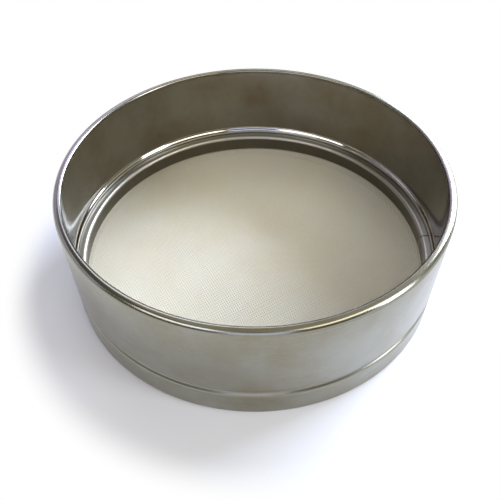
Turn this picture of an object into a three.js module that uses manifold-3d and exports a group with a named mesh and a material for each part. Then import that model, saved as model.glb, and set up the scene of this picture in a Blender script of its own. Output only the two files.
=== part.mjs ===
// Round flour sieve: a drum rolled from sheet steel with a curled rim, a woven wire screen above
// its foot, and the split ring that clamps the screen under a ridge rolled into the wall.
// Millimetres, +Z up. The origin is the centre of the circle on which the foot stands.
import * as THREE from 'three';
import { mergeVertices } from 'three/addons/utils/BufferGeometryUtils.js';
import Module from 'manifold-3d';

const wasm = await Module();
wasm.setup();

// Drum wall, over all
const DRUM_DIAMETER = 200;
const DRUM_HEIGHT = 65;
const SHELL_SHEET = 0.6;

// Rim: the wall's top edge bends inwards over a wide shoulder and curls under itself, round a small open eye
const RIM_SHOULDER_BEND = 2.4;
const RIM_EYE = 1.3;
const RIM_CURL_DEGREES = 300;

// Foot: the wall's lower edge is rolled inwards with a flat below and a flat ledge above
const FOOT_ROLL_HEIGHT = 4.4;
const FOOT_FLAT = 1.4;

// Ridge: a groove rolled into the wall from outside, which stands out inside
const RIDGE_HEIGHT = 17.7;
const RIDGE_DEPTH = 1.4;
const RIDGE_WIDTH = 6.8;

// Split ring: a channel bent from strip, with a web that leans in, a flange that presses on the screen
// and a narrower top flange that bears on the underside of the ridge
const RING_SHEET = 0.8;
const RING_WIDTH = 5.4;
const RING_LEAN_DEGREES = 6;
const RING_FOOT_BEND = 1.0;
const RING_TOP_BEND = 1.7;
const RING_TOP_WIDTH = 4.2;
const RING_SPLIT = 0.6;

// Screen: fine woven wire, drawn as a flat net with far fewer and thicker bars
const SCREEN_THICKNESS = 0.6;
const NET_PITCH = 11;
const NET_BAR = 0.8;
const NET_LEAST_GAP = 2;
const WEAVE_DEGREES = -15;

// The room left between pieces that bear on each other
const FIT = 0.3;

// Facets of a full turn and of the small bends
const TURN_FACETS = 56;
const SHOULDER_STEPS = 4;
const CURL_STEPS = 7;
const FOOT_STEPS = 2;
const RIDGE_STEPS = 2;
const RING_TOP_STEPS = 4;
const RING_FOOT_STEPS = 2;

// Radii and heights that follow from the sizes above
const wallMiddle = DRUM_DIAMETER / 2 - SHELL_SHEET / 2;
const wallInside = DRUM_DIAMETER / 2 - SHELL_SHEET;

const rimMiddle = DRUM_HEIGHT - SHELL_SHEET / 2;
const shoulderRadius = RIM_SHOULDER_BEND + SHELL_SHEET / 2;
const shoulderCentre = new THREE.Vector2(wallMiddle - shoulderRadius, rimMiddle - shoulderRadius);
const curlRadius = (RIM_EYE + SHELL_SHEET) / 2;
const curlCentre = new THREE.Vector2(shoulderCentre.x, rimMiddle - curlRadius);

const footRadius = (FOOT_ROLL_HEIGHT - SHELL_SHEET) / 2;

const ridgeAngle = 2 * Math.atan(2 * RIDGE_DEPTH / RIDGE_WIDTH);
const ridgeRadius = RIDGE_WIDTH / 4 / Math.sin(ridgeAngle);
const ridgeCrest = new THREE.Vector2(wallMiddle - RIDGE_DEPTH + ridgeRadius, RIDGE_HEIGHT);

const screenBottom = FOOT_ROLL_HEIGHT + FIT;
const screenTop = screenBottom + SCREEN_THICKNESS;
const screenRadius = wallInside - FIT;

const ringOutside = wallInside - FIT;
const ringInside = ringOutside - RING_WIDTH;
const ringBottom = screenTop + FIT;
const ringLean = THREE.MathUtils.degToRad(RING_LEAN_DEGREES);
const ringTopEdge = ringInside + RING_TOP_WIDTH;
// The top flange clears the round of the ridge by its edge, or is level with the crest if it ends short of it
const ridgeToRing = ridgeRadius + SHELL_SHEET / 2 + FIT;
const ringTop = RIDGE_HEIGHT - Math.sqrt(Math.max(0, ridgeToRing ** 2 - (ridgeCrest.x - ringTopEdge) ** 2));

function steel(colour, roughness) {
  return new THREE.MeshStandardMaterial({ color: colour, roughness, metalness: 1 });
}

const POLISHED_SHEET = steel('#a5a398', 0.22);
const BRIGHT_STRIP = steel('#8f8976', 0.25);
const WOVEN_WIRE = steel('#b9b29f', 0.5);

// A bent sheet at one place of its section: a point on its middle line, and the way its right face looks.
function place(radius, height, side) {
  return { point: new THREE.Vector2(radius, height), side };
}

// The places along a round bend of the sheet, between two angles about the bend's centre.
function bend(centre, radius, fromDegrees, toDegrees, steps) {
  const turn = Math.sign(toDegrees - fromDegrees);
  return Array.from({ length: steps + 1 }, (_, i) => {
    const angle = THREE.MathUtils.degToRad(fromDegrees + (toDegrees - fromDegrees) * i / steps);
    const out = new THREE.Vector2(Math.cos(angle), Math.sin(angle));
    return { point: centre.clone().addScaledVector(out, radius), side: out.multiplyScalar(turn) };
  });
}

// Turns the section of a bent sheet round the drum's axis.
function turnedSheet(places, sheet) {
  const face = (offset) => places.map(({ point, side }) => point.clone().addScaledVector(side, offset));
  const right = face(sheet / 2);
  const left = face(-sheet / 2);
  const outline = [...right, ...left.reverse(), right[0].clone()];
  return new THREE.LatheGeometry(outline, TURN_FACETS).rotateX(Math.PI / 2);
}

function toSolid(geometry) {
  const bare = geometry.clone();
  bare.deleteAttribute('normal');
  bare.deleteAttribute('uv');
  const joined = mergeVertices(bare);
  return new wasm.Manifold(new wasm.Mesh({
    numProp: 3,
    vertProperties: new Float32Array(joined.attributes.position.array),
    triVerts: new Uint32Array(joined.index.array),
  }));
}

function toGeometry(solid) {
  const { vertProperties, triVerts } = solid.getMesh();
  const geometry = new THREE.BufferGeometry();
  geometry.setAttribute('position', new THREE.BufferAttribute(vertProperties, 3));
  geometry.setIndex(new THREE.BufferAttribute(triVerts, 1));
  geometry.computeVertexNormals();
  return geometry;
}

// The whole wall is one strip: foot roll, skirt, ridge, drum wall and rim curl.
function shell() {
  const flatOuter = new THREE.Vector2(wallMiddle - footRadius, FOOT_ROLL_HEIGHT / 2);
  const flatInner = new THREE.Vector2(flatOuter.x - FOOT_FLAT, flatOuter.y);
  const ledgeEnd = place(flatOuter.x, flatOuter.y + footRadius, new THREE.Vector2(0, 1));
  const ridgeDegrees = THREE.MathUtils.radToDeg(ridgeAngle);
  const filletLow = new THREE.Vector2(wallMiddle - ridgeRadius, RIDGE_HEIGHT - RIDGE_WIDTH / 2);
  const filletHigh = new THREE.Vector2(wallMiddle - ridgeRadius, RIDGE_HEIGHT + RIDGE_WIDTH / 2);
  const places = [
    ledgeEnd,
    ...bend(flatInner, footRadius, 90, 270, 2 * FOOT_STEPS),
    ...bend(flatOuter, footRadius, 270, 360, FOOT_STEPS),
    ...bend(filletLow, ridgeRadius, 0, ridgeDegrees, RIDGE_STEPS),
    ...bend(ridgeCrest, ridgeRadius, 180 + ridgeDegrees, 180 - ridgeDegrees, 2 * RIDGE_STEPS).slice(1, -1),
    ...bend(filletHigh, ridgeRadius, -ridgeDegrees, 0, RIDGE_STEPS),
    ...bend(shoulderCentre, shoulderRadius, 0, 90, SHOULDER_STEPS),
    ...bend(curlCentre, curlRadius, 90, RIM_CURL_DEGREES, CURL_STEPS).slice(1),
  ];
  return turnedSheet(places, SHELL_SHEET);
}

// The ring's strip runs in along its lower flange, up its web and out again along its top flange.
function splitRing() {
  const strip = RING_SHEET / 2;
  const footHeight = ringBottom + strip + RING_FOOT_BEND;
  const topCentre = new THREE.Vector2(ringInside + strip + RING_TOP_BEND, ringTop - strip - RING_TOP_BEND);
  const footMiddle = topCentre.x + (topCentre.y - footHeight) * Math.tan(ringLean)
    - (RING_TOP_BEND - RING_FOOT_BEND) / Math.cos(ringLean);
  const footCentre = new THREE.Vector2(footMiddle, footHeight);
  const places = [
    place(ringOutside, ringBottom + strip, new THREE.Vector2(0, 1)),
    ...bend(footCentre, RING_FOOT_BEND, 270, 180 + RING_LEAN_DEGREES, RING_FOOT_STEPS),
    ...bend(topCentre, RING_TOP_BEND, 180 + RING_LEAN_DEGREES, 90, RING_TOP_STEPS),
    place(ringTopEdge, ringTop - strip, new THREE.Vector2(0, -1)),
  ];
  const whole = toSolid(turnedSheet(places, RING_SHEET));
  const cutter = new THREE.BoxGeometry(2 * RING_WIDTH, RING_SPLIT, 2 * DRUM_HEIGHT);
  cutter.translate((ringInside + ringOutside) / 2, 0, ringBottom);
  return toGeometry(whole.subtract(toSolid(cutter)));
}

// The screen is a disc with square gaps inside the ring, and a plain edge under it.
function screen() {
  const disc = new THREE.CylinderGeometry(screenRadius, screenRadius, SCREEN_THICKNESS, TURN_FACETS);
  disc.rotateX(Math.PI / 2).translate(0, 0, screenBottom + SCREEN_THICKNESS / 2);
  const cutDepth = 3 * SCREEN_THICKNESS;
  const open = new THREE.CylinderGeometry(ringInside, ringInside, cutDepth, TURN_FACETS);
  open.rotateX(Math.PI / 2).translate(0, 0, screenBottom + SCREEN_THICKNESS / 2);

  const rows = Math.ceil(ringInside / NET_PITCH);
  const half = (NET_PITCH - NET_BAR) / 2;
  const gaps = [];
  for (let i = -rows; i < rows; i += 1) {
    for (let j = -rows; j < rows; j += 1) {
      const x = (i + 0.5) * NET_PITCH;
      const y = (j + 0.5) * NET_PITCH;
      const nearCorner = Math.hypot(Math.abs(x) - half, Math.abs(y) - half);
      if (nearCorner > ringInside - NET_LEAST_GAP) continue;
      gaps.push(new THREE.Shape([
        new THREE.Vector2(x - half, y - half),
        new THREE.Vector2(x + half, y - half),
        new THREE.Vector2(x + half, y + half),
        new THREE.Vector2(x - half, y + half),
      ]));
    }
  }
  const cutter = new THREE.ExtrudeGeometry(gaps, { depth: cutDepth, bevelEnabled: false });
  cutter.translate(0, 0, screenBottom - SCREEN_THICKNESS);
  cutter.rotateZ(THREE.MathUtils.degToRad(WEAVE_DEGREES));
  return toGeometry(toSolid(disc).subtract(toSolid(cutter).intersect(toSolid(open))));
}

function piece(name, geometry, material) {
  const mesh = new THREE.Mesh(geometry, material);
  mesh.name = name;
  return mesh;
}

const sieve = new THREE.Group();
sieve.add(
  piece('shell', shell(), POLISHED_SHEET),
  piece('split_ring', splitRing(), BRIGHT_STRIP),
  piece('mesh_screen', screen(), WOVEN_WIRE),
);

export default sieve;
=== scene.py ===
"""A round flour sieve in polished steel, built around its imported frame.

The drum is one strip of sheet with a curled rim, a rolled ridge and a rolled foot. A split ring
under the ridge clamps a screen of woven wire.
"""

import math

import bmesh
import bpy
from bpy.props import FloatProperty, FloatVectorProperty, PointerProperty
from mathutils import Matrix, Quaternion, Vector


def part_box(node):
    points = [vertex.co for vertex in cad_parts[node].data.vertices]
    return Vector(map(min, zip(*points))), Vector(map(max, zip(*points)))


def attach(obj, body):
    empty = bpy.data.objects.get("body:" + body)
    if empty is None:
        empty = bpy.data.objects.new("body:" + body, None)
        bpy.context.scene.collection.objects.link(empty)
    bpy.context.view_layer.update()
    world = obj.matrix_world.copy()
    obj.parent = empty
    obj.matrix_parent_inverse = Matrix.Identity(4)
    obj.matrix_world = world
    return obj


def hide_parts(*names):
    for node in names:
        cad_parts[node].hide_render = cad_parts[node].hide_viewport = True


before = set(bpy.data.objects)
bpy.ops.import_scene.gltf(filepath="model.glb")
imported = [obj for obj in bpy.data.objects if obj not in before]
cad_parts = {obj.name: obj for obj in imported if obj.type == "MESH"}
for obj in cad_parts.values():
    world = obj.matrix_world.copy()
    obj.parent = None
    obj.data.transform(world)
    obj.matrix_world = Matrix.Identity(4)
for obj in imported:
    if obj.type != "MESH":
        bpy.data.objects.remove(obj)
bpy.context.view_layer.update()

bl_info = {
    "name": "Flour Sieve",
    "version": (1, 0, 0),
    "blender": (4, 5, 0),
    "location": "View3D > Sidebar > Sieve",
    "description": "Builds a round flour sieve of polished steel with a woven wire screen",
    "category": "Add Mesh",
}

MM = 0.001

# Facets of a full turn, and the turn that one step of a small bend makes
TURN_STEPS = 288
BEND_STEP = math.radians(9)
# A straight run has a short stretch at each end, which keeps the shading of the bends out of it
HOLD = 0.3 * MM
# Names of the shares of satin, painted highlight and painted shade on the steel, each from 0 to 1
SATIN = "satin"
PAINTED_HIGHLIGHT = "painted_highlight_share"
PAINTED_SHADE = "painted_shade_share"
# The rim is less satin than the outside of the wall
RIM_SATIN = 0.6
# How squarely a face has to look across to be upright
UPRIGHT = 0.99
# Sides of a woven wire, and its steps from one crossing to the next
WIRE_SIDES = 4
WIRE_STEPS = 1
# Steps round the floor and the surround, and their sizes in metres
STAGE_STEPS = 96
FLOOR_RADIUS = 4.0
SURROUND_RADIUS = 3.0
SURROUND_HEIGHT = 8.0
# Width of the camera's sensor in millimetres, and the nearest that the camera sees
SENSOR_WIDTH = 36
NEAREST_SEEN = 10 * MM

SHELL_LOW, SHELL_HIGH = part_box("shell")
RING_LOW, RING_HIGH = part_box("split_ring")
SCREEN_LOW, SCREEN_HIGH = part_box("mesh_screen")


def linear(hex_colour):
    """An sRGB hex colour as linear red, green and blue."""
    parts = [int(hex_colour[i:i + 2], 16) / 255 for i in (1, 3, 5)]
    return tuple(p / 12.92 if p <= 0.04045 else ((p + 0.055) / 1.055) ** 2.4 for p in parts)


def length(name, description, default):
    """A length in metres that a user can set."""
    return FloatProperty(
        name=name, description=description, default=default, min=0, precision=5, unit="LENGTH"
    )


def angle(name, description, degrees):
    """An angle that a user can set."""
    return FloatProperty(name=name, description=description, default=math.radians(degrees), subtype="ANGLE")


def colour(name, description, hex_colour):
    """A colour that a user can set."""
    return FloatVectorProperty(
        name=name, description=description, default=linear(hex_colour), min=0, max=1, subtype="COLOR"
    )


class SieveSizes(bpy.types.PropertyGroup):
    """Sizes of the sieve's pieces."""

    drum_radius: length("Drum radius", "Outside radius of the drum wall", SHELL_HIGH.x)
    drum_height: length("Drum height", "Height from the foot to the top of the rim", SHELL_HIGH.z)
    sheet: length("Sheet", "Thickness of the drum's sheet", 0.6 * MM)
    rim_shoulder: length("Rim shoulder", "Inside radius of the rim's wide outer bend", 2.4 * MM)
    rim_eye: length("Rim eye", "Width of the open eye that the rim curls round", 1.3 * MM)
    rim_curl: angle("Rim curl", "How far the rim turns in all", 300)
    foot_height: length("Foot height", "Height of the roll on which the drum stands", 4.4 * MM)
    foot_flat: length("Foot flat", "Width of the flat under the foot", 1.4 * MM)
    ridge_height: length("Ridge height", "Height of the ridge's middle", 17.7 * MM)
    ridge_depth: length("Ridge depth", "How far the ridge stands into the drum", 1.4 * MM)
    ridge_width: length("Ridge width", "Height of the groove from wall to wall", 6.8 * MM)
    strip: length("Strip", "Thickness of the split ring's strip", 0.8 * MM)
    ring_lean: angle("Ring lean", "How far the ring's web leans in towards its top", 6)
    ring_foot_bend: length("Ring foot bend", "Radius of the bend from flange to web", 1.0 * MM)
    ring_top_bend: length("Ring top bend", "Radius of the bend from web to top flange", 1.7 * MM)
    ring_top_reach: length("Ring top reach", "Radius at which the top flange ends", 97.9 * MM)
    ring_split: length("Ring split", "Gap between the ends of the ring", 0.6 * MM)
    weave_pitch: length("Weave pitch", "Distance from wire to wire, coarser than real cloth", 0.9 * MM)
    weave_wire: length("Weave wire", "Diameter of a woven wire", 0.52 * MM)
    weave_slack: length("Weave slack", "Room between two wires that cross", 0.03 * MM)
    weave_radius: length("Weave radius", "How far the wires reach under the ring", 96.4 * MM)
    weave_turn: angle("Weave turn", "Turn of the cloth in the drum", -15)


class SieveFinishes(bpy.types.PropertyGroup):
    """Colours of the sieve's metals."""

    sheet_steel: colour("Sheet steel", "Rubbed sheet outside the drum", "#98978d")
    sheet_stain: colour("Sheet stain", "Faint film on the rubbed sheet", "#89826e")
    # The inner wall's two colours are painted shade: a darker, browner copy of the sheet, with a random
    # mottle.
    inner_wall_painted_shade: colour("Sheet inside", "Mill sheet of the inner wall", "#817f7a")
    inner_wall_shade_mottle: colour("Sheet oil", "Brown trace of oil on the inner wall", "#71675b")
    # The ridge's colour is a painted highlight: a lighter copy of the sheet.
    ridge_painted_highlight: colour("Burnished steel", "Ridge that the forming wheel has rubbed bright", "#b4b1a9")
    strip_steel: colour("Strip steel", "Bright strip of the split ring", "#aaa69b")
    # The web's colour is painted shade: a darker copy of the strip.
    web_painted_shade: colour("Oiled strip", "Web of the split ring", "#6a665c")
    weave_steel: colour("Woven steel", "Wire of the screen", "#fffbea")
    weave_dull: colour("Dull woven steel", "Duller wires of the screen", "#fdf8e5")


class SieveStage(bpy.types.PropertyGroup):
    """Camera, floor and light."""

    camera_place: FloatVectorProperty(
        name="Camera place", description="Where the camera stands",
        default=(0, -0.22564, 0.24837), subtype="TRANSLATION", unit="LENGTH",
    )
    camera_aim: FloatVectorProperty(
        name="Camera aim", description="The point on the floor in the middle of the picture",
        default=(-0.00273, 0.00446, 0), subtype="TRANSLATION", unit="LENGTH",
    )
    camera_roll: angle("Camera roll", "Turn of the camera about its line of sight", -0.55)
    camera_lens: FloatProperty(
        name="Camera lens", description="Focal length in millimetres on a 36 mm sensor", default=41.1
    )
    surround_front: angle("Surround in front", "How high the dark surround reaches behind the camera", 45)
    surround_back: angle("Surround at the back", "How high the dark surround reaches beyond the sieve", 33)
    surround_left: angle("Surround on the left", "How high the dark surround reaches on the left", 64)
    surround_right: angle("Surround on the right", "How high the dark surround reaches on the right", 22)
    floor_pale: colour("Floor", "Matt floor round the sieve", "#e7e8ea")
    floor_white: colour("Far floor", "Floor away from the sieve", "#ffffff")
    shade_reach: FloatVectorProperty(
        name="Shade reach", description="Where the floor's shade starts to fade, and where it ends",
        default=(0.121, 0.142), size=2, unit="LENGTH",
    )
    room_dark: colour("Surround", "Dark low surround that polished metal shows", "#6e6c59")
    sky_pale: colour("Ceiling", "Pale ceiling above the surround", "#c2bfab")


def add_node(tree, kind, inputs=(), **settings):
    """Adds a node to a tree, with its settings, socket values and links."""
    node = tree.nodes.new(kind)
    for name, value in settings.items():
        setattr(node, name, value)
    for name, value in dict(inputs).items():
        if isinstance(value, bpy.types.NodeSocket):
            tree.links.new(value, node.inputs[name])
        else:
            node.inputs[name].default_value = value
    return node


def new_material(name):
    """An empty node material and its tree."""
    material = bpy.data.materials.new(name)
    material.use_nodes = True
    material.node_tree.nodes.clear()
    return material, material.node_tree


def show_surface(tree, shader):
    """Links a shader to the output of its material."""
    add_node(tree, "ShaderNodeOutputMaterial", {"Surface": shader.outputs[0]})


def rgba(values):
    """A colour with full alpha."""
    return (*values, 1.0)


def clouds(tree, place, size, detail, **more):
    """Soft random patches of about a size."""
    inputs = {"Vector": place, "Scale": 1 / size, "Detail": detail, **more}
    return add_node(tree, "ShaderNodeTexNoise", inputs).outputs["Fac"]


def spread(tree, value, least, most, start=0.0, end=1.0, **settings):
    """A value that goes from the least to the most as another goes from a start to an end."""
    inputs = {"Value": value, "From Min": start, "From Max": end, "To Min": least, "To Max": most}
    return add_node(tree, "ShaderNodeMapRange", inputs, **settings).outputs["Result"]


def blend(tree, share, first, second):
    """A colour between two others, by the share of the second."""
    inputs = {"Factor": share, "A": first, "B": second}
    return add_node(tree, "ShaderNodeMix", inputs, data_type="RGBA").outputs["Result"]


def share_of(tree, name):
    """The share that the pieces carry under a name."""
    return add_node(tree, "ShaderNodeAttribute", attribute_name=name).outputs["Fac"]


def polished_sheet_steel(finishes):
    """Stainless sheet, rolled and then polished on a wheel.

    The eye sees soft reflections, drawn out a little round the drum, with a faint uneven film. The inner wall
    carries painted shade, and the ridge a painted highlight.
    """
    material, tree = new_material("polished_stainless_sheet")
    place = add_node(tree, "ShaderNodeTexCoord").outputs["Object"]
    # Polishing lines run round the drum. Real ones are under 0.1 mm apart: 0.6 mm is the finest that shows.
    line_spacing = 0.6 * MM
    lines_along = 40 * MM
    stretched = add_node(
        tree, "ShaderNodeMapping",
        {"Vector": place, "Scale": (1 / lines_along, 1 / lines_along, 1 / line_spacing)},
    ).outputs["Vector"]
    lines = clouds(tree, stretched, 1.0, detail=3.0)
    # The film left by wiping comes and goes over some 30 mm.
    film_size = 30 * MM
    patches = clouds(tree, place, film_size, detail=4.0, Roughness=0.6)
    film = spread(tree, patches, 0.0, 0.8, start=0.4, end=0.7)
    outside = blend(tree, film, rgba(finishes.sheet_steel), rgba(finishes.sheet_stain))
    # The inner wall is painted darker and browner than the outside, with a random mottle, as painted shade.
    inside = blend(tree, film, rgba(finishes.inner_wall_painted_shade), rgba(finishes.inner_wall_shade_mottle))
    walls = blend(tree, share_of(tree, PAINTED_SHADE), outside, inside)
    # The inside of the ridge is painted lighter, as a painted highlight.
    base = blend(tree, share_of(tree, PAINTED_HIGHLIGHT), walls, rgba(finishes.ridge_painted_highlight))
    # The inside is bright from the mill, and the outside is rubbed to a satin.
    satin = share_of(tree, SATIN)
    least = spread(tree, satin, 0.07, 0.27)
    most = spread(tree, satin, 0.1, 0.3)
    gloss = spread(tree, lines, least, most, start=0.3, end=0.7)
    # Rolled sheet is never quite true: it swells and dips over some 45 mm, and reflections waver with it.
    swell_size = 45 * MM
    swell = clouds(tree, place, swell_size, detail=1.0)
    waver = add_node(tree, "ShaderNodeBump", {"Height": swell, "Strength": 0.25, "Distance": 0.4 * MM})
    scratched = add_node(
        tree, "ShaderNodeBump",
        {"Height": lines, "Strength": 0.01, "Distance": 0.01 * MM, "Normal": waver.outputs["Normal"]},
    )
    steel = add_node(
        tree, "ShaderNodeBsdfPrincipled",
        {"Base Color": base, "Metallic": 1.0, "Roughness": gloss, "Normal": scratched.outputs["Normal"]},
    )
    show_surface(tree, steel)
    return material


def bright_strip_steel(finishes):
    """Narrow stainless strip, bright rolled and bent on edge.

    The eye sees soft lines of light along the bends, and a web painted darker and browner than the drum, as
    painted shade.
    """
    material, tree = new_material("bright_rolled_stainless_strip")
    place = add_node(tree, "ShaderNodeTexCoord").outputs["Object"]
    patch_size = 14 * MM
    patches = clouds(tree, place, patch_size, detail=3.0)
    gloss = spread(tree, patches, 0.34, 0.42, start=0.3, end=0.7)
    waver = add_node(tree, "ShaderNodeBump", {"Height": patches, "Strength": 0.2, "Distance": 0.2 * MM})
    # The web is painted darker, as painted shade, as the inner wall is.
    base = blend(tree, share_of(tree, PAINTED_SHADE), rgba(finishes.strip_steel), rgba(finishes.web_painted_shade))
    steel = add_node(
        tree, "ShaderNodeBsdfPrincipled",
        {"Base Color": base, "Metallic": 1.0, "Roughness": gloss, "Normal": waver.outputs["Normal"]},
    )
    show_surface(tree, steel)
    return material


def woven_wire_steel(finishes):
    """Stainless wire, drawn fine and woven plain.

    The eye sees a pale satin cloth, with bands where the wires lie a little brighter or duller.
    """
    material, tree = new_material("woven_stainless_wire")
    place = add_node(tree, "ShaderNodeTexCoord").outputs["Object"]
    band_size = 25 * MM
    patches = clouds(tree, place, band_size, detail=2.0)
    bands = spread(tree, patches, 0.0, 1.0, start=0.35, end=0.65)
    base = blend(tree, bands, rgba(finishes.weave_steel), rgba(finishes.weave_dull))
    gloss = spread(tree, bands, 0.5, 0.58)
    steel = add_node(
        tree, "ShaderNodeBsdfPrincipled", {"Base Color": base, "Metallic": 1.0, "Roughness": gloss}
    )
    show_surface(tree, steel)
    return material


class SectionPen:
    """Draws the middle line of a bent sheet in the plane y = 0, as straight runs and round bends in turn."""

    def __init__(self, bm, radius, height, heading):
        """Starts at a radius and height. A heading of 0 is away from the axis, and a quarter turn is up."""
        self.bm = bm
        self.tip = bm.verts.new((radius, 0, height))
        self.heading = heading

    def direction(self, turn=0.0):
        """The way the pen goes, or a way turned to its left by an angle."""
        return Vector((math.cos(self.heading + turn), 0, math.sin(self.heading + turn)))

    def step(self, distance):
        """Draws one straight stretch."""
        self.tip = bmesh.ops.extrude_vert_indiv(self.bm, verts=[self.tip])["verts"][0]
        bmesh.ops.translate(self.bm, verts=[self.tip], vec=self.direction() * distance)

    def straight(self, distance):
        """Draws a straight run, with a short stretch at each end."""
        self.step(HOLD)
        self.step(distance - 2 * HOLD)
        self.step(HOLD)

    def bend(self, radius, turn):
        """Draws a round bend, to the left for a turn above zero and to the right below."""
        centre = self.tip.co + self.direction(math.copysign(math.pi / 2, turn)) * radius
        drawn = bmesh.ops.spin(
            self.bm, geom=[self.tip], cent=centre, axis=(0, -1, 0), angle=turn,
            steps=math.ceil(abs(turn) / BEND_STEP),
        )
        self.tip = next(item for item in drawn["geom_last"] if isinstance(item, bmesh.types.BMVert))
        self.heading += turn


def turn_section(bm, turn=math.tau):
    """Turns the drawn section round the drum's axis and makes its faces look one way."""
    whole = math.isclose(turn, math.tau)
    bmesh.ops.spin(
        bm, geom=bm.verts[:] + bm.edges[:], cent=(0, 0, 0), axis=(0, 0, 1), angle=turn,
        steps=TURN_STEPS, use_merge=whole,
    )
    bmesh.ops.recalc_face_normals(bm, faces=bm.faces[:])


def thicken(bm, thickness):
    """Gives a turned sheet its thickness, half on each side of its middle."""
    bm.normal_update()
    for vertex in bm.verts:
        vertex.co += vertex.normal * thickness / 2
    bmesh.ops.solidify(bm, geom=bm.faces[:], thickness=thickness)


def mark(bm, name, share):
    """Writes a share on each vertex, from its height and how squarely it looks away from the drum's axis."""
    layer = bm.verts.layers.float.new(name)
    bm.normal_update()
    for vertex in bm.verts:
        outward = vertex.normal.xy.dot(vertex.co.xy.normalized())
        vertex[layer] = share(vertex.co.z, outward)


def finish_piece(name, bm, material, node, sharp=math.radians(50)):
    """Makes the mesh an object that rides on the frame in place of a node. Edges over an angle stay sharp."""
    mesh = bpy.data.meshes.new(name)
    bm.to_mesh(mesh)
    bm.free()
    mesh.shade_smooth()
    mesh.set_sharp_from_angle(angle=sharp)
    mesh.materials.append(material)
    piece = bpy.data.objects.new(name, mesh)
    bpy.context.scene.collection.objects.link(piece)
    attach(piece, "root")
    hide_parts(node)
    return piece


class SIEVE_OT_roll_drum(bpy.types.Operator):
    """Roll the drum wall with its foot, ridge and rim from one strip of sheet"""

    bl_idname = "sieve.roll_drum"
    bl_label = "Roll Drum Wall"
    bl_options = {"REGISTER", "UNDO"}

    def execute(self, context):
        sizes = context.scene.sieve_sizes
        wall = sizes.drum_radius - sizes.sheet / 2
        foot_bend = (sizes.foot_height - sizes.sheet) / 2
        ledge_height = sizes.foot_height - sizes.sheet / 2
        shoulder = sizes.rim_shoulder + sizes.sheet / 2
        curl = (sizes.rim_eye + sizes.sheet) / 2
        wall_top = sizes.drum_height - sizes.sheet / 2 - shoulder
        ridge_turn = 2 * math.atan(2 * sizes.ridge_depth / sizes.ridge_width)
        ridge_bend = sizes.ridge_width / 4 / math.sin(ridge_turn)
        ridge_low = sizes.ridge_height - sizes.ridge_width / 2
        ridge_high = sizes.ridge_height + sizes.ridge_width / 2

        bm = bmesh.new()
        pen = SectionPen(bm, wall - foot_bend, ledge_height, math.pi)
        pen.straight(sizes.foot_flat)
        pen.bend(foot_bend, math.pi)
        pen.straight(sizes.foot_flat)
        pen.bend(foot_bend, math.pi / 2)
        pen.straight(ridge_low - sizes.foot_height / 2)
        pen.bend(ridge_bend, ridge_turn)
        pen.bend(ridge_bend, -2 * ridge_turn)
        pen.bend(ridge_bend, ridge_turn)
        pen.straight(wall_top - ridge_high)
        pen.bend(shoulder, math.pi / 2)
        pen.bend(curl, sizes.rim_curl - math.pi / 2)
        turn_section(bm)
        thicken(bm, sizes.sheet)
        mark(bm, SATIN, lambda height, outward: RIM_SATIN if height > wall_top else float(outward > 0))
        # The inside of the ridge gets a painted highlight.
        mark(bm, PAINTED_HIGHLIGHT, lambda height, outward: float(outward < 0 and ridge_low < height < ridge_high))
        # The upright inner wall above the ridge gets painted shade.
        mark(bm, PAINTED_SHADE, lambda height, outward: float(outward < -UPRIGHT and height > ridge_high))
        steel = polished_sheet_steel(context.scene.sieve_finishes)
        finish_piece("drum_wall", bm, steel, "shell")
        return {"FINISHED"}


def ring_inside():
    """Inside radius of the split ring, from its node."""
    return min(vertex.co.xy.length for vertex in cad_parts["split_ring"].data.vertices)


class SIEVE_OT_bend_split_ring(bpy.types.Operator):
    """Bend the split ring that clamps the screen"""

    bl_idname = "sieve.bend_split_ring"
    bl_label = "Bend Split Ring"
    bl_options = {"REGISTER", "UNDO"}

    def execute(self, context):
        sizes = context.scene.sieve_sizes
        half = sizes.strip / 2
        lean = sizes.ring_lean
        outside = RING_HIGH.x
        foot_bend, top_bend = sizes.ring_foot_bend, sizes.ring_top_bend
        top_middle = ring_inside() + half + top_bend
        rise = RING_HIGH.z - half - top_bend - (RING_LOW.z + half + foot_bend)
        run = (top_bend - foot_bend) / math.cos(lean) - rise * math.tan(lean)

        bm = bmesh.new()
        pen = SectionPen(bm, outside, RING_LOW.z + half, math.pi)
        pen.straight(outside - top_middle + run)
        pen.bend(foot_bend, lean - math.pi / 2)
        pen.straight(rise * math.cos(lean) - run * math.sin(lean))
        pen.bend(top_bend, -math.pi / 2 - lean)
        pen.straight(sizes.ring_top_reach - top_middle)
        split = sizes.ring_split / outside
        bmesh.ops.rotate(bm, verts=bm.verts[:], cent=(0, 0, 0), matrix=Matrix.Rotation(split / 2, 3, "Z"))
        turn_section(bm, math.tau - split)
        thicken(bm, sizes.strip)
        # The inner face of the web gets painted shade.
        mark(bm, PAINTED_SHADE, lambda height, outward: float(outward < -UPRIGHT))
        steel = bright_strip_steel(context.scene.sieve_finishes)
        finish_piece("clamp_ring", bm, steel, "split_ring")
        return {"FINISHED"}


def wave_wire(sizes):
    """One long woven wire along X, which rises and dips by its own thickness from crossing to crossing."""
    step = sizes.weave_pitch / WIRE_STEPS
    steps = WIRE_STEPS * 2 * (math.ceil(sizes.weave_radius / sizes.weave_pitch) + 1)
    start = Matrix.Translation((-steps * step / 2, 0, 0)) @ Matrix.Rotation(math.pi / 2, 4, "Y")
    wire = bmesh.new()
    bmesh.ops.create_circle(wire, segments=WIRE_SIDES, radius=sizes.weave_wire / 2, matrix=start)
    bmesh.ops.spin(
        wire, geom=wire.verts[:] + wire.edges[:], cent=(0, 0, 0), axis=(1, 0, 0), dvec=(step, 0, 0),
        angle=0, steps=steps,
    )
    rise = (sizes.weave_wire + sizes.weave_slack) / 2
    for vertex in wire.verts:
        vertex.co.z += rise * math.cos(math.pi * vertex.co.x / sizes.weave_pitch)
    return wire


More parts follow.
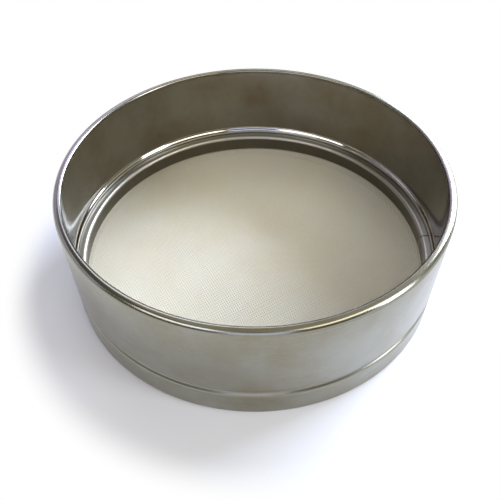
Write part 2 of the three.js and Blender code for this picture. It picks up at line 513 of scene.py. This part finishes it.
def cut_wire(wire, reach):
    """Cuts a wire to length at both ends and closes the cuts."""
    for side in (-1, 1):
        cut = bmesh.ops.bisect_plane(
            wire, geom=wire.verts[:] + wire.edges[:] + wire.faces[:], plane_co=(side * reach, 0, 0),
            plane_no=(side, 0, 0), clear_outer=True,
        )
        ends = [item for item in cut["geom_cut"] if isinstance(item, bmesh.types.BMEdge)]
        bmesh.ops.edgeloop_fill(wire, edges=ends)
    bmesh.ops.recalc_face_normals(wire, faces=wire.faces[:])


def lay_wires(sizes, turn, first, rows):
    """Some rows of one family of parallel wires, each half a wave ahead of its neighbour."""
    long_wire = wave_wire(sizes)
    family = bmesh.new()
    one = bpy.data.meshes.new("one_wire")
    for row in rows:
        side = row * sizes.weave_pitch
        wire = long_wire.copy()
        if (row + first) % 2:
            bmesh.ops.translate(wire, verts=wire.verts[:], vec=(sizes.weave_pitch, 0, 0))
        cut_wire(wire, math.sqrt(sizes.weave_radius ** 2 - side ** 2))
        bmesh.ops.translate(wire, verts=wire.verts[:], vec=(0, side, 0))
        wire.to_mesh(one)
        wire.free()
        family.from_mesh(one)
    long_wire.free()
    bpy.data.meshes.remove(one)
    middle = (SCREEN_LOW.z + SCREEN_HIGH.z) / 2
    seat = Matrix.Translation((0, 0, middle)) @ Matrix.Rotation(turn, 4, "Z")
    bmesh.ops.transform(family, verts=family.verts[:], matrix=seat)
    return family


class SIEVE_OT_weave_screen(bpy.types.Operator):
    """Weave the screen from two families of wire"""

    bl_idname = "sieve.weave_screen"
    bl_label = "Weave Screen"
    bl_options = {"REGISTER", "UNDO"}

    def execute(self, context):
        sizes = context.scene.sieve_sizes
        steel = woven_wire_steel(context.scene.sieve_finishes)
        families = {"warp_wires": 0.0, "weft_wires": math.pi / 2}
        # The last wire lies at least half a pitch inside the edge of the cloth.
        count = math.floor(sizes.weave_radius / sizes.weave_pitch - 0.5)
        halves = {"low": range(-count, 0), "high": range(count + 1)}
        for first, (family, turn) in enumerate(families.items()):
            for half, rows in halves.items():
                wires = lay_wires(sizes, sizes.weave_turn + turn, first, rows)
                # The few sides of a wire are shaded as one round.
                finish_piece(
                    f"{family}_{half}", wires, steel, "mesh_screen", sharp=math.radians(100)
                )
        return {"FINISHED"}


def matt_floor(stage):
    """Matt pale board, which takes a soft shadow and goes plain white away from the sieve.

    From below it is clear, so that the sieve's underside can be looked at.
    """
    material, tree = new_material("matt_white_board")
    board = add_node(tree, "ShaderNodeBsdfDiffuse", {"Color": rgba(stage.floor_pale)})
    white = add_node(tree, "ShaderNodeEmission", {"Color": rgba(stage.floor_white), "Strength": 1.0})
    place = add_node(tree, "ShaderNodeTexCoord").outputs["Object"]
    away = add_node(tree, "ShaderNodeVectorMath", {"Vector": place}, operation="LENGTH").outputs["Value"]
    start, end = stage.shade_reach
    share = spread(tree, away, 0.0, 1.0, start=start, end=end, interpolation_type="SMOOTHSTEP")
    # The white shows to the eye, in metal and through glass, and lights nothing.
    rays = add_node(tree, "ShaderNodeLightPath").outputs
    seen = rays["Is Camera Ray"]
    for kind in ("Is Glossy Ray", "Is Transmission Ray"):
        seen = add_node(tree, "ShaderNodeMath", {0: seen, 1: rays[kind]}, operation="MAXIMUM").outputs[0]
    factor = add_node(tree, "ShaderNodeMath", {0: share, 1: seen}, operation="MULTIPLY").outputs[0]
    above = add_node(tree, "ShaderNodeMixShader", {0: factor, 1: board.outputs[0], 2: white.outputs[0]})
    below = add_node(tree, "ShaderNodeNewGeometry").outputs["Backfacing"]
    clear = add_node(tree, "ShaderNodeBsdfTransparent")
    one_sided = add_node(tree, "ShaderNodeMixShader", {0: below, 1: above.outputs[0], 2: clear.outputs[0]})
    show_surface(tree, one_sided)
    return material


def dark_surround(stage):
    """Dark cloth wall, which gives polished metal its dark lines."""
    material, tree = new_material("dark_cloth_wall")
    wall = add_node(tree, "ShaderNodeEmission", {"Color": rgba(stage.room_dark), "Strength": 1.0})
    show_surface(tree, wall)
    return material


def stage_piece(name, bm, material):
    """Makes the mesh an object, linked to the scene."""
    mesh = bpy.data.meshes.new(name)
    bm.to_mesh(mesh)
    bm.free()
    mesh.materials.append(material)
    piece = bpy.data.objects.new(name, mesh)
    bpy.context.scene.collection.objects.link(piece)
    return piece


# Windows: way and height of the middle in degrees, distance and size in metres, watts and tint
WINDOWS = {
    "right_window": ((44, 22), 1.4, (1.15, 0.8), 70, "#d9e4ff"),
    "skylight": ((106, 54), 1.6, (0.8, 0.6), 3.6, "#e6eeff"),
    "back_left_window": ((98, 40), 1.6, (0.9, 0.25), 1.8, "#d2c8ff"),
    "far_left_window": ((122, 18), 1.6, (1.0, 1.0), 3.4, "#cfc4ff"),
    "left_window": ((168, 18), 1.6, (1.6, 0.6), 2.8, "#cfc9fa"),
    "front_left_window": ((230, 39), 1.6, (1.0, 0.5), 5.8, "#f2f0ff"),
    "front_window": ((271, 22), 1.6, (0.85, 1.0), 5, "#d0daff"),
    "front_right_window": ((318, 42), 1.6, (1.1, 0.45), 5, "#fff4e4"),
    "near_right_window": ((338, 18), 1.4, (0.4, 0.8), 10, "#e6edff"),
}


def hang_window(name, way, distance, size, power, tint):
    """A soft panel of light that looks at the sieve."""
    light = bpy.data.lights.new(name, "AREA")
    light.shape = "RECTANGLE"
    light.size, light.size_y = size
    light.energy = power
    light.color = linear(tint)
    lamp = bpy.data.objects.new(name, light)
    azimuth, elevation = (math.radians(degrees) for degrees in way)
    across = math.cos(elevation) * distance
    lamp.location = (across * math.cos(azimuth), across * math.sin(azimuth), math.sin(elevation) * distance)
    lamp.rotation_mode = "QUATERNION"
    lamp.rotation_quaternion = lamp.location.to_track_quat("Z", "Y")
    lamp.visible_camera = False
    bpy.context.scene.collection.objects.link(lamp)


def lay_floor(stage):
    """The board on which the sieve stands."""
    bm = bmesh.new()
    bmesh.ops.create_circle(bm, cap_ends=True, segments=STAGE_STEPS, radius=FLOOR_RADIUS)
    stage_piece("floor", bm, matt_floor(stage))


def raise_surround(stage):
    """The dark wall round the stage, cut off on a slant, which only reflections show."""
    bm = bmesh.new()
    bmesh.ops.create_cone(
        bm, cap_ends=False, segments=STAGE_STEPS, radius1=SURROUND_RADIUS, radius2=SURROUND_RADIUS,
        depth=SURROUND_HEIGHT, matrix=Matrix.Translation((0, 0, SURROUND_HEIGHT / 2)),
    )
    sides = (stage.surround_front, stage.surround_back, stage.surround_left, stage.surround_right)
    front, back, left, right = (SURROUND_RADIUS * math.tan(side) for side in sides)
    bmesh.ops.bisect_plane(
        bm, geom=bm.verts[:] + bm.edges[:] + bm.faces[:],
        plane_co=(0, 0, (front + back + left + right) / 4),
        plane_no=((left - right) / 2, (front - back) / 2, SURROUND_RADIUS), clear_outer=True,
    )
    surround = stage_piece("surround", bm, dark_surround(stage))
    surround.visible_camera = False


def pale_ceiling(stage):
    """The world: an even pale ceiling."""
    world = bpy.data.worlds.new("pale_ceiling")
    world.use_nodes = True
    tree = world.node_tree
    tree.nodes.clear()
    sky = add_node(tree, "ShaderNodeBackground", {"Color": rgba(stage.sky_pale), "Strength": 1.0})
    add_node(tree, "ShaderNodeOutputWorld", {"Surface": sky.outputs[0]})
    return world


def photo_camera(stage):
    """The camera, where the photograph was taken from."""
    lens = bpy.data.cameras.new("photo_camera")
    lens.lens = stage.camera_lens
    lens.sensor_width = SENSOR_WIDTH
    lens.clip_start = NEAREST_SEEN
    camera = bpy.data.objects.new("photo_camera", lens)
    camera.location = stage.camera_place
    camera.rotation_mode = "QUATERNION"
    sight = Vector(stage.camera_aim) - camera.location
    camera.rotation_quaternion = sight.to_track_quat("-Z", "Y") @ Quaternion((0, 0, 1), stage.camera_roll)
    bpy.context.scene.collection.objects.link(camera)
    return camera


class SIEVE_OT_set_stage(bpy.types.Operator):
    """Set the floor, the light and the camera"""

    bl_idname = "sieve.set_stage"
    bl_label = "Set Stage"
    bl_options = {"REGISTER", "UNDO"}

    def execute(self, context):
        scene = context.scene
        stage = scene.sieve_stage
        scene.view_settings.view_transform = "Standard"
        lay_floor(stage)
        raise_surround(stage)
        for name, panel in WINDOWS.items():
            hang_window(name, *panel)
        scene.world = pale_ceiling(stage)
        scene.camera = photo_camera(stage)
        return {"FINISHED"}


class SIEVE_PT_panel(bpy.types.Panel):
    """Lists the steps that make the sieve, and its sizes and colours"""

    bl_idname = "SIEVE_PT_panel"
    bl_label = "Flour Sieve"
    bl_space_type = "VIEW_3D"
    bl_region_type = "UI"
    bl_category = "Sieve"

    def draw(self, context):
        for step in STEPS:
            self.layout.operator(step.bl_idname)
        for group in (context.scene.sieve_sizes, context.scene.sieve_finishes, context.scene.sieve_stage):
            box = self.layout.box()
            for name in group.__annotations__:
                box.prop(group, name)


STEPS = (
    SIEVE_OT_roll_drum,
    SIEVE_OT_bend_split_ring,
    SIEVE_OT_weave_screen,
    SIEVE_OT_set_stage,
)
CLASSES = (SieveSizes, SieveFinishes, SieveStage, *STEPS, SIEVE_PT_panel)


def register():
    """Adds the sieve's classes and settings."""
    for item in CLASSES:
        bpy.utils.register_class(item)
    bpy.types.Scene.sieve_sizes = PointerProperty(type=SieveSizes)
    bpy.types.Scene.sieve_finishes = PointerProperty(type=SieveFinishes)
    bpy.types.Scene.sieve_stage = PointerProperty(type=SieveStage)


def unregister():
    """Takes the sieve's classes and settings away again."""
    del bpy.types.Scene.sieve_stage
    del bpy.types.Scene.sieve_finishes
    del bpy.types.Scene.sieve_sizes
    for item in reversed(CLASSES):
        bpy.utils.unregister_class(item)


def main():
    """Builds the sieve and its stage."""
    register()
    bpy.ops.sieve.roll_drum()
    bpy.ops.sieve.bend_split_ring()
    bpy.ops.sieve.weave_screen()
    bpy.ops.sieve.set_stage()


if __name__ == "__main__":
    main()
